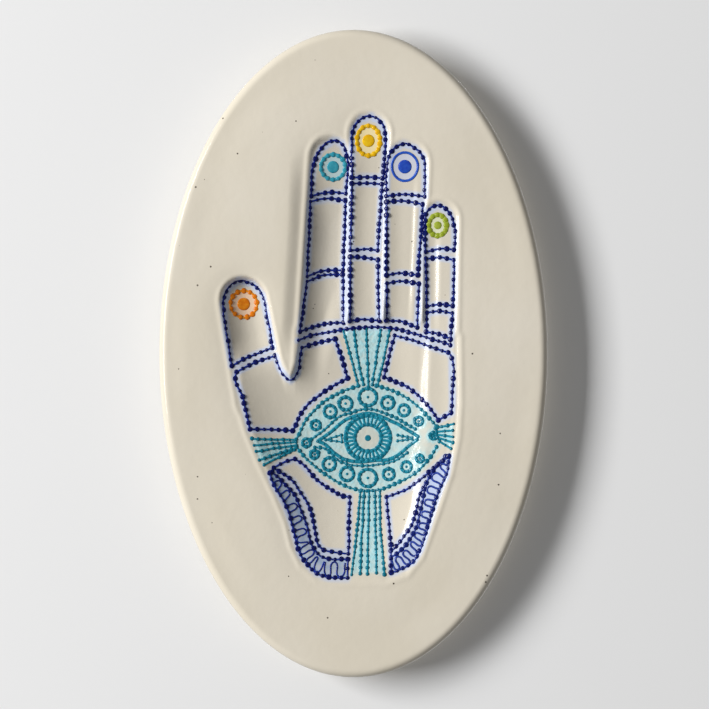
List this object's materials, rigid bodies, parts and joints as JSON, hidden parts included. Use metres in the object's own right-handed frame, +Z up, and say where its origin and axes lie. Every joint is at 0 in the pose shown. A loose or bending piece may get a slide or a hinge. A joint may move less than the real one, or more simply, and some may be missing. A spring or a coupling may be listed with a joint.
{
  "type": "hamsa hand wall plaque",
  "caption": "Oval glazed ceramic wall plaque with an impressed open hand painted in beaded enamel, an eye in the palm, and a swinging D-ring hanger behind its foot ring.",
  "frame": {"origin": "on the wall plane that the foot ring rests against, behind the oval's centre", "axes": "+Z up the wall towards the fingertips, +Y into the wall, +X to the viewer's right"},
  "size_m": [0.156, 0.0181, 0.26],
  "materials": {
    "cream_glaze": "glossy cream glaze over a hand-pressed body",
    "cobalt_enamel": "glossy cobalt enamel",
    "turquoise_enamel": "glossy turquoise enamel",
    "orange_enamel": "glossy orange enamel",
    "yellow_enamel": "glossy yellow enamel",
    "blue_enamel": "glossy blue enamel",
    "green_enamel": "glossy lime green enamel",
    "hanger_steel": "zinc-plated steel",
    "epoxy": "cured epoxy"
  },
  "bodies": {
    "plaque": {"plaque_body": "cream_glaze", "thumb_rosette": "orange_enamel", "middle_rosette": "yellow_enamel", "ring_rosette": "blue_enamel", "little_rosette": "green_enamel", "hanger_strap": "hanger_steel", "hanger_epoxy": "epoxy", "thumb_contour": "cobalt_enamel", "index_contour": "cobalt_enamel", "middle_contour": "cobalt_enamel", "ring_contour": "cobalt_enamel", "little_contour": "cobalt_enamel", "thumb_joint_bands": "cobalt_enamel", "index_joint_bands": "cobalt_enamel", "middle_joint_bands": "cobalt_enamel", "ring_joint_bands": "cobalt_enamel", "little_joint_bands": "cobalt_enamel", "palm_arc": "cobalt_enamel", "upper_left_panel_border": "cobalt_enamel", "upper_right_panel_border": "cobalt_enamel", "lower_left_panel_border": "cobalt_enamel", "lower_right_panel_border": "cobalt_enamel", "left_cuff": "cobalt_enamel", "right_cuff": "cobalt_enamel", "eye_outline": "turquoise_enamel", "eyelids": "turquoise_enamel", "iris": "turquoise_enamel", "pupil": "turquoise_enamel", "eye_ringlets": "turquoise_enamel", "eye_corner_marks": "turquoise_enamel", "top_rays": "turquoise_enamel", "left_rays": "turquoise_enamel", "right_rays": "turquoise_enamel", "bottom_rays": "turquoise_enamel", "index_rosette": "turquoise_enamel"},
    "ring": {"hanger_ring": "hanger_steel"}
  },
  "joints": [
    {"name": "ring_swing", "type": "hinge", "parent": "plaque", "child": "ring", "pos_m": [0, -0.00215, 0.07], "axis": [-1, 0, 0], "range_deg": [0, 170]}
  ]
}
